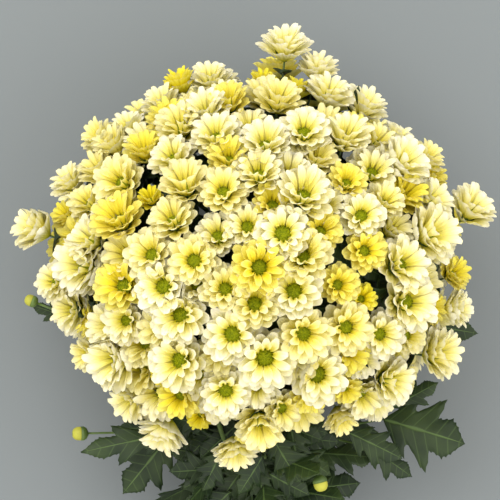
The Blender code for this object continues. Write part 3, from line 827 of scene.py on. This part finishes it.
for spray in all_sprays:
    shape = bmesh.new()
    for bloom in spray.blooms:
        size = bloom.width / 2
        radius = size * DISC_RADIUS
        floret = radius * FLORET_RADIUS
        middle = bloom.middle + bloom.opening * size * DISC_RISE
        seat = Matrix.Translation(middle) @ turn_to(bloom.opening)
        flatten = Matrix.Diagonal((1, 1, DISC_HEIGHT, 1))
        bmesh.ops.create_icosphere(shape, subdivisions=2, radius=radius, matrix=seat @ flatten)
        for step in range(FLORETS):
            out = math.sqrt((step + 0.5) / FLORETS)
            angle = step * GOLDEN_TURN
            spot = Vector((math.cos(angle) * out, math.sin(angle) * out, 0)) * radius * FLORET_REACH
            spot.z = DISC_HEIGHT * radius * math.sqrt(1 - out * out * FLORET_SINK)
            bmesh.ops.create_cone(
                shape,
                cap_ends=True,
                segments=5,
                radius1=floret,
                radius2=floret * FLORET_TIP,
                depth=floret * FLORET_DEPTH,
                matrix=seat @ Matrix.Translation(spot),
            )
    for spot in shape.verts:
        spot.co.z = max(spot.co.z, SURFACE_GAP)
    bmesh.ops.recalc_face_normals(shape, faces=shape.faces)
    for face in shape.faces:
        face.smooth = len(face.verts) < 5
    keep_piece(shape, f"{spray.name}_discs", [disc_lime], f"{spray.name}_flowers")

# The petals stand in three layers round the disc. Each is a thin soft spoon, rolled into a
# throat at its base, opening to a broad rounded tip: cream or yellow, deepest at the base.
PETAL_THICKNESS = 0.0004
SAME_PLACE = 0.0001
CUPS = {"cream": 0.44, "pale": 0.48, "lemon": 0.52, "gold": 0.65}
TONES = {"cream": 0.0, "pale": 0.26, "lemon": 0.70, "gold": 0.95}
MISSING_IN_GOLD = 2
CUP_SPREAD = (0.85, 1.25)
SHADE_SPREAD = (-0.04, 0.08)
LAYER_SHADE = 0.06
PETAL_SHADE_SPREAD = (-0.03, 0.05)

# Each petal differs a little in its place, length, cup, sweep and twist.
ANGLE_SPREAD = 0.22
LENGTH_SPREAD = (0.86, 1.04)
PETAL_CUP_SPREAD = 0.12
SWEEP_SPREAD = 0.12
TWIST_SPREAD = 0.22

# Neighbouring blooms are pressed together: how far their petals overlap, how far off a bloom
# still is a neighbour, and how far the pressed petals bend up.
OVERLAP = 0.0075
NEIGHBOUR_ANGLE = math.radians(28)
ROOM_ABOVE = 0.55
PRESSINGS = 2

# Of each layer, in half widths of the bloom: petals, root, elbow and tip as (out, rise), half
# width of a petal, its roll in degrees at the base, at the spoon and at the tip, and how far
# its tip stands up with the bloom's cup.
PETAL_LAYERS = (
    (14, (0.12, -0.38), (0.66, -0.10), (1.10, 0.0), 0.265, (80, 50, 48), 0.62),
    (13, (0.14, -0.28), (0.52, 0.20), (0.98, 0.16), 0.245, (95, 54, 46), 0.95),
    (10, (0.24, -0.14), (0.38, 0.42), (0.76, 0.32), 0.205, (140, 88, 64), 1.10),
)


def make_petal_sheet():
    """A thin lens: two sheets of a few faces that share one sharp edge all round."""
    sheet = bmesh.new()
    sheet.loops.layers.uv.new("petal")
    bmesh.ops.create_grid(sheet, x_segments=4, y_segments=5, size=0.5, calc_uvs=True)
    over = sheet.verts[:] + sheet.edges[:] + sheet.faces[:]
    under = bmesh.ops.duplicate(sheet, geom=over)["geom"]
    under_faces = [item for item in under if isinstance(item, bmesh.types.BMFace)]
    bmesh.ops.reverse_faces(sheet, faces=under_faces)
    for item in under:
        if isinstance(item, bmesh.types.BMVert) and not item.is_boundary:
            item.co.z = -1
    bmesh.ops.remove_doubles(sheet, verts=sheet.verts, dist=SAME_PLACE)
    for edge in sheet.edges:
        reaches = [max(abs(spot.co.x), abs(spot.co.y)) for spot in edge.verts]
        edge.smooth = min(reaches) < 0.5 - SAME_PLACE
    for face in sheet.faces:
        face.smooth = True
    mesh = bpy.data.meshes.new("petal_sheet")
    sheet.to_mesh(mesh)
    sheet.free()
    return mesh


petal_sheet = make_petal_sheet()
sheet_points = np.array([spot.co[:] for spot in petal_sheet.vertices])
sheet_across = sheet_points[:, 0] * 2
sheet_along = sheet_points[:, 1] + 0.5
sheet_under = sheet_points[:, 2] < -0.5

# A petal's half width against the share of its length.
WIDTH_SHARES = (0.0, 0.2, 0.4, 0.6, 0.8, 1.0)
WIDTH_VALUES = (0.30, 0.48, 0.76, 0.98, 1.04, 0.74)
TIP_ROUNDING = 0.09
ELBOW_CUP = 0.3
SPOON_SHARE = 0.6
MEAN_HALF_WIDTH = 0.02
TIP_THINNESS = 0.4
sheet_widths = np.interp(sheet_along, WIDTH_SHARES, WIDTH_VALUES)


def petal_points(first, second, facing, angle, layer, cup, scale, sweep, twist):
    """The sheet's points, bent along an arch and rolled across, round a bloom at the origin."""
    root, elbow, tip, half_width, rolls, stand = layer[1:]
    share = sheet_along - TIP_ROUNDING * sheet_across ** 4 * sheet_along ** 4
    keep, pull, reach = (1 - share) ** 2, 2 * share * (1 - share), share ** 2
    tip_out, tip_rise = tip[0] * scale, tip[1] + cup * stand
    elbow_rise = elbow[1] + cup * ELBOW_CUP
    out = keep * root[0] + pull * elbow[0] * scale + reach * tip_out
    rise = keep * root[1] + pull * elbow_rise + reach * tip_rise
    slope_out = (1 - share) * (elbow[0] * scale - root[0]) + share * (tip_out - elbow[0] * scale)
    slope_rise = (1 - share) * (elbow_rise - root[1]) + share * (tip_rise - elbow_rise)
    slope = np.arctan2(slope_rise, slope_out)
    roll = np.radians(np.interp(sheet_along, (0, SPOON_SHARE, 1), rolls))
    width = half_width * sheet_widths
    aside = width * np.sin(sheet_across * roll) / roll
    lift = width * (1 - np.cos(sheet_across * roll)) / roll
    lift = lift + sheet_across * width * twist * sheet_along
    thinning = TIP_THINNESS + (1 - TIP_THINNESS) * (1 - sheet_along)
    lift = lift - sheet_under * PETAL_THICKNESS / MEAN_HALF_WIDTH * thinning
    turned = angle + sweep * sheet_along ** 2
    outward = np.outer(np.cos(turned), first) + np.outer(np.sin(turned), second)
    sideways = np.outer(-np.sin(turned), first) + np.outer(np.cos(turned), second)
    points = outward * (out - lift * np.sin(slope))[:, None] + sideways * aside[:, None]
    return points + np.outer(rise + lift * np.cos(slope), facing)


def cell_walls(bloom):
    """Outward normals of the planes through the head's centre that part a bloom from the others."""
    walls = []
    for other in all_blooms:
        if other is bloom or other.way.dot(bloom.way) < math.cos(NEIGHBOUR_ANGLE):
            continue
        share = bloom.width / (bloom.width + other.width)
        between = (bloom.way * (1 - share) + other.way * share).normalized()
        apart = other.way - bloom.way
        walls.append((apart - between * apart.dot(between)).normalized())
    return np.array([wall[:] for wall in walls])


def press_petals(points, bloom, walls):
    """Petals that reach far over a neighbour's petals are bent up against them."""
    centre = np.array(HEAD_CENTRE)
    facing = np.array(bloom.facing)
    for pressing in range(PRESSINGS):
        beyond = (points - centre) @ walls.T - OVERLAP
        worst = beyond.argmax(axis=1)
        excess = np.maximum(beyond.max(axis=1), 0)[:, None]
        points = points - walls[worst] * excess + facing * excess * ROOM_ABOVE
    points[:, 2] = np.maximum(points[:, 2], PETAL_THICKNESS)
    return points


petal_skin, nodes, links, shader = new_material("petal_skin", 0.65)
shader.inputs["Subsurface Weight"].default_value = 0.25
shader.inputs["Subsurface Radius"].default_value = (0.006, 0.006, 0.002)
shader.inputs["Subsurface Scale"].default_value = 1.0
shader.inputs["Specular IOR Level"].default_value = 0.12
coordinates = nodes.new("ShaderNodeTexCoord")
split = nodes.new("ShaderNodeSeparateXYZ")
cream_ramp = add_ramp(
    nodes,
    (0.0, (0.66, 0.64, 0.01)),
    (0.22, (0.90, 0.82, 0.06)),
    (0.5, (0.94, 0.87, 0.32)),
    (0.9, (0.95, 0.91, 0.70)),
)
gold_ramp = add_ramp(
    nodes,
    (0.0, (0.50, 0.47, 0.01)),
    (0.3, (0.88, 0.73, 0.008)),
    (0.6, (0.90, 0.77, 0.016)),
    (1.0, (0.92, 0.82, 0.06)),
)
tone = nodes.new("ShaderNodeAttribute")
tone.attribute_name = "tone"
tone_mix = nodes.new("ShaderNodeMix")
tone_mix.data_type = "RGBA"
ridges = nodes.new("ShaderNodeTexWave")
ridges.bands_direction = "X"
ridges.inputs["Scale"].default_value = 1.6
ridges.inputs["Distortion"].default_value = 0.6
ridge_relief = nodes.new("ShaderNodeBump")
ridge_relief.inputs["Strength"].default_value = 0.35
ridge_relief.inputs["Distance"].default_value = 0.0005
links.new(coordinates.outputs["UV"], split.inputs["Vector"])
links.new(split.outputs["Y"], cream_ramp.inputs["Fac"])
links.new(split.outputs["Y"], gold_ramp.inputs["Fac"])
links.new(tone.outputs["Fac"], tone_mix.inputs["Factor"])
links.new(cream_ramp.outputs["Color"], tone_mix.inputs[6])
links.new(gold_ramp.outputs["Color"], tone_mix.inputs[7])
links.new(tone_mix.outputs[2], shader.inputs["Base Color"])
links.new(coordinates.outputs["UV"], ridges.inputs["Vector"])
links.new(ridges.outputs["Fac"], ridge_relief.inputs["Height"])
links.new(ridge_relief.outputs["Normal"], shader.inputs["Normal"])

for spray in all_sprays:
    chance = random.Random(spray.index)
    shape = bmesh.new()
    placed = []
    tones = []
    for bloom in spray.blooms:
        turn = chance.uniform(0, 2 * math.pi)
        side = Vector((0, 0, 1)) if abs(bloom.opening.z) < 0.8 else Vector((1, 0, 0))
        first = side.cross(bloom.opening).normalized()
        second = np.array(bloom.opening.cross(first))
        first = np.array(first)
        facing = np.array(bloom.opening)
        size = bloom.width / 2
        cup = CUPS[bloom.tone] * chance.uniform(*CUP_SPREAD)
        shade = chance.uniform(*SHADE_SPREAD)
        points = []
        for number, layer in enumerate(PETAL_LAYERS):
            count = layer[0] - (MISSING_IN_GOLD if bloom.tone == "gold" else 0)
            for step in range(count):
                place = step + number * 0.5 + chance.uniform(-ANGLE_SPREAD, ANGLE_SPREAD)
                angle = turn + 2 * math.pi * place / count
                scale = chance.uniform(*LENGTH_SPREAD)
                petal_cup = cup + chance.uniform(-PETAL_CUP_SPREAD, PETAL_CUP_SPREAD)
                sweep = chance.uniform(-SWEEP_SPREAD, SWEEP_SPREAD)
                twist = chance.uniform(-TWIST_SPREAD, TWIST_SPREAD)
                points.append(
                    petal_points(first, second, facing, angle, layer, petal_cup, scale, sweep, twist)
                )
                shape.from_mesh(petal_sheet)
                petal_tone = TONES[bloom.tone] + shade + chance.uniform(*PETAL_SHADE_SPREAD)
                tones += [petal_tone + LAYER_SHADE * number] * len(sheet_points)
        points = np.concatenate(points) * size + np.array(bloom.middle)
        placed.append(press_petals(points, bloom, cell_walls(bloom)))
    piece = keep_piece(
        shape, f"{spray.name}_petals", [petal_skin], f"{spray.name}_flowers"
    )
    placed = np.concatenate(placed) + np.array(origin_step)
    piece.data.vertices.foreach_set("co", placed.astype(np.float32).ravel())
    depth_of_tone = piece.data.attributes.new("tone", "FLOAT", "POINT")
    depth_of_tone.data.foreach_set("value", np.clip(tones, 0, 1).astype(np.float32))
    piece.data.update()
bpy.data.meshes.remove(petal_sheet)

# The tie is about a third of a metre of jute twine, two millimetres thick. It is wound three
# times round the stems and drawn tight, which holds the bunch together.
TIE_INNER_RADIUS = 0.0164
TWINE_RADIUS = 0.0011
TWINE_PITCH = 0.0023

twine_jute, nodes, links, shader = new_material("twine_jute", 0.9)
coordinates = nodes.new("ShaderNodeTexCoord")
fibres = nodes.new("ShaderNodeTexNoise")
fibres.inputs["Scale"].default_value = 900
jute_ramp = add_ramp(nodes, (0.0, (0.22, 0.14, 0.06)), (1.0, (0.58, 0.44, 0.25)))
links.new(coordinates.outputs["Object"], fibres.inputs["Vector"])
links.new(fibres.outputs["Fac"], jute_ramp.inputs["Fac"])
links.new(jute_ramp.outputs["Color"], shader.inputs["Base Color"])

shape = bmesh.new()
upright = Matrix.Rotation(math.pi / 2, 4, "X")
for turn_number in (-1, 0, 1):
    place = Matrix.Translation((TIE_INNER_RADIUS + TWINE_RADIUS, 0, turn_number * TWINE_PITCH))
    profile = bmesh.ops.create_circle(
        shape, segments=10, radius=TWINE_RADIUS, matrix=place @ upright
    )["verts"]
    edges = list({edge for spot in profile for edge in spot.link_edges})
    bmesh.ops.spin(
        shape,
        geom=profile + edges,
        cent=(0, 0, 0),
        axis=(0, 0, 1),
        angle=2 * math.pi,
        steps=64,
        use_merge=True,
    )
bmesh.ops.recalc_face_normals(shape, faces=shape.faces)
for face in shape.faces:
    face.smooth = True
seat = Matrix.Translation(HEAD_CENTRE - UP * TIE_DISTANCE) @ turn_to(UP)
bmesh.ops.transform(shape, matrix=seat, verts=shape.verts)
keep_piece(shape, "twine_turns", [twine_jute], "tie")

# The bunch lies on a plain pale table, under one large soft light, a weaker one from the
# other side and an even room light. Places are from the head's middle, powers in watts.
FLOOR_SIZE = 12.0
ROOM_LIGHT = 1.45
LIGHTS = (
    ("key_light", Vector((-0.7, 0.8, 1.9)), 1.6, 22),
    ("fill_light", Vector((1.2, -0.5, 1.6)), 1.8, 11),
)

floor_shape = bmesh.new()
bmesh.ops.create_grid(floor_shape, x_segments=1, y_segments=1, size=FLOOR_SIZE)
floor_mesh = bpy.data.meshes.new("floor")
floor_shape.to_mesh(floor_mesh)
floor_shape.free()
floor = bpy.data.objects.new("floor", floor_mesh)
bpy.context.scene.collection.objects.link(floor)
pale_grey, nodes, links, shader = new_material("pale_grey", 0.9)
shader.inputs["Base Color"].default_value = (0.182, 0.201, 0.211, 1)
floor_mesh.materials.append(pale_grey)

world = bpy.data.worlds.new("room")
world.use_nodes = True
world.node_tree.nodes["Background"].inputs["Color"].default_value = (1.0, 0.98, 0.92, 1)
world.node_tree.nodes["Background"].inputs["Strength"].default_value = ROOM_LIGHT
bpy.context.scene.world = world

head_middle = HEAD_CENTRE + origin_step
for name, place, size, power in LIGHTS:
    light = bpy.data.lights.new(name, "AREA")
    light.size = size
    light.energy = power
    lamp = bpy.data.objects.new(name, light)
    lamp.location = head_middle + place
    lamp.rotation_euler = (-place).to_track_quat("-Z", "Y").to_euler()
    bpy.context.scene.collection.objects.link(lamp)

# The camera looks straight down from far above, with the flowers at the top of the frame and
# the stems leaving it at the bottom edge.
PIXEL = 0.00088
FRAME_PIXELS = 500
CAMERA_HEIGHT = 2.6
HEAD_PIXEL = (258, 247)
SENSOR_WIDTH = 36

camera_data = bpy.data.cameras.new("camera")
camera_data.sensor_width = SENSOR_WIDTH
camera_data.lens = SENSOR_WIDTH * CAMERA_HEIGHT / (PIXEL * FRAME_PIXELS)
camera = bpy.data.objects.new("camera", camera_data)
aside = (HEAD_PIXEL[0] - FRAME_PIXELS / 2) * PIXEL
above = (FRAME_PIXELS / 2 - HEAD_PIXEL[1]) * PIXEL
camera.location = head_middle + Vector((-aside, -above, CAMERA_HEIGHT))
bpy.context.scene.collection.objects.link(camera)
bpy.context.scene.camera = camera
bpy.context.scene.view_settings.view_transform = "Standard"
